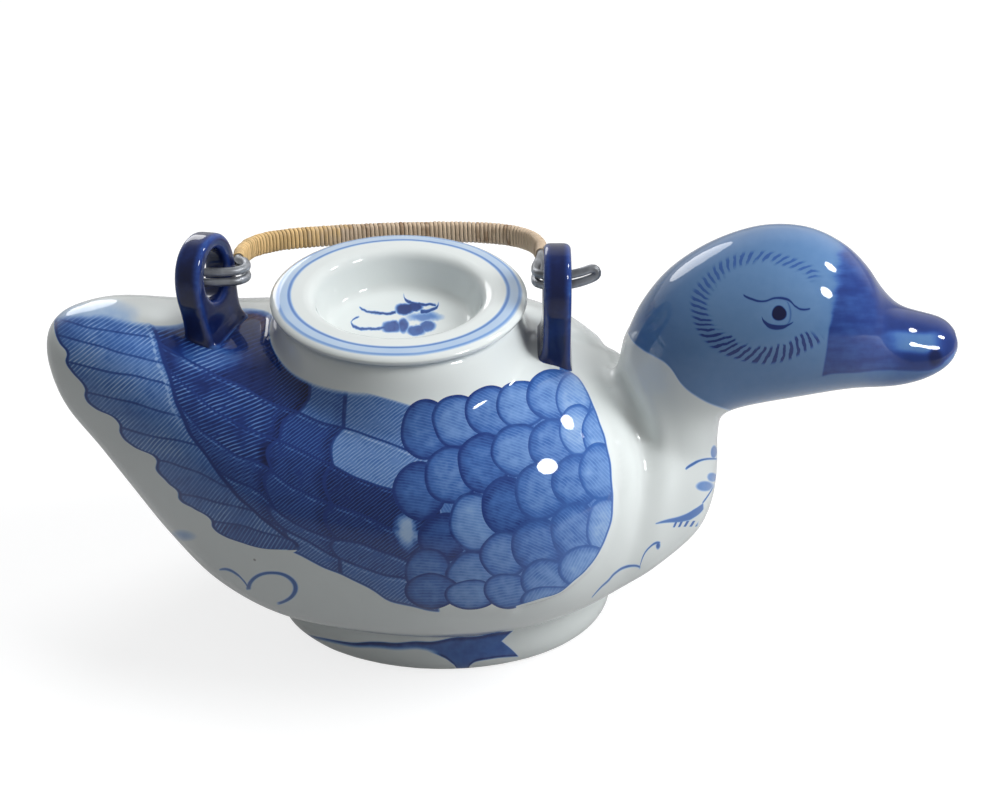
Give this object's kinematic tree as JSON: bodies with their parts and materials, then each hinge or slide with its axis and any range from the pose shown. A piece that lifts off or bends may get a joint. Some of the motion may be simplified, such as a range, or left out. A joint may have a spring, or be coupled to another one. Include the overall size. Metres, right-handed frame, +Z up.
{
  "type": "figural teapot",
  "caption": "Hollow duck-shaped porcelain teapot with a dished lift-off lid, a spout through the bill and a cane-bound wire bail that swings in two lugs.",
  "frame": {"origin": "on the table, under the middle of the pot's length and width", "axes": "+X towards the bill, +Y to the side that the bail lies folded to, +Z up"},
  "size_m": [0.2493, 0.113, 0.1207],
  "materials": {
    "porcelain": "white porcelain painted in blue under a clear gloss glaze",
    "porcelain_blue": "blue wash under a clear gloss glaze",
    "cobalt_glaze": "dark cobalt under a clear gloss glaze",
    "wire": "dull drawn wire",
    "cane": "split cane, unvarnished"
  },
  "bodies": {
    "pot": {"duck_body": "porcelain", "neck_and_head": "porcelain_blue", "filling_collar": "porcelain", "rear_lug": "cobalt_glaze", "front_lug": "cobalt_glaze"},
    "lid": {"lid": "porcelain"},
    "bail": {"bail_wire": "wire", "cane_binding": "cane"}
  },
  "joints": [
    {"name": "lid_lift", "type": "slide", "parent": "pot", "child": "lid", "axis": [0, 0, 1], "range_m": [0, 0.055]},
    {"name": "bail_swing", "type": "hinge", "parent": "pot", "child": "bail", "pos_m": [-0.033, 0, 0.106], "axis": [1, 0, 0], "range_deg": [0, 203]}
  ]
}
